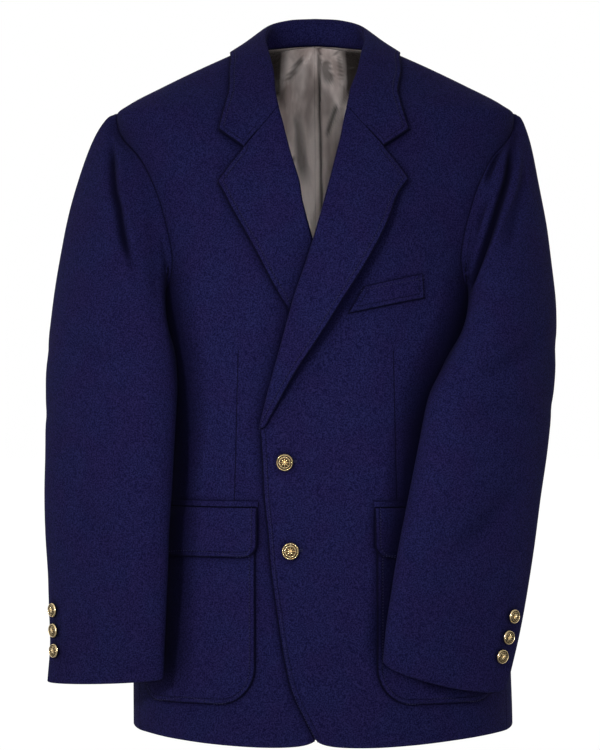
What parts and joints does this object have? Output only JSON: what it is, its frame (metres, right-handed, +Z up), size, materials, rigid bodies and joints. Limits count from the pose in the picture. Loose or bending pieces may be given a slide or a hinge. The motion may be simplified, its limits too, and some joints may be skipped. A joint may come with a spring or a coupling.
{
  "type": "single breasted blazer",
  "caption": "Single breasted navy wool blazer with notch lapels, patch pockets with flaps, breast welt and metal buttons, filled out with no wearer.",
  "frame": {"origin": "middle of the neck, level with the shoulder seams where they meet the collar", "axes": "+X to the wearer's left, -Y to the front, +Z up"},
  "size_m": [0.5564, 0.2973, 0.8013],
  "materials": {
    "wool": "matt navy wool hopsack",
    "lining": "grey satin lining, soft sheen",
    "brass": "polished, slightly darkened in the relief"
  },
  "bodies": {
    "root": {"front_left": "wool", "front_right": "wool", "side_left": "wool", "side_right": "wool", "back_left": "wool", "back_right": "wool", "top_sleeve_left": "wool", "top_sleeve_right": "wool", "under_sleeve_left": "wool", "under_sleeve_right": "wool", "lapel_left": "wool", "lapel_right": "wool", "collar_stand": "wool", "collar_fall": "wool", "patch_pocket_left": "wool", "patch_pocket_right": "wool", "pocket_flap_left": "wool", "pocket_flap_right": "wool", "pocket_band_left": "wool", "pocket_band_right": "wool", "breast_welt": "wool", "lining_left": "lining", "lining_right": "lining", "front_button_1": "brass", "front_button_2": "brass", "cuff_button_left_1": "brass", "cuff_button_left_2": "brass", "cuff_button_left_3": "brass", "cuff_button_right_1": "brass", "cuff_button_right_2": "brass", "cuff_button_right_3": "brass"}
  },
  "joints": []
}
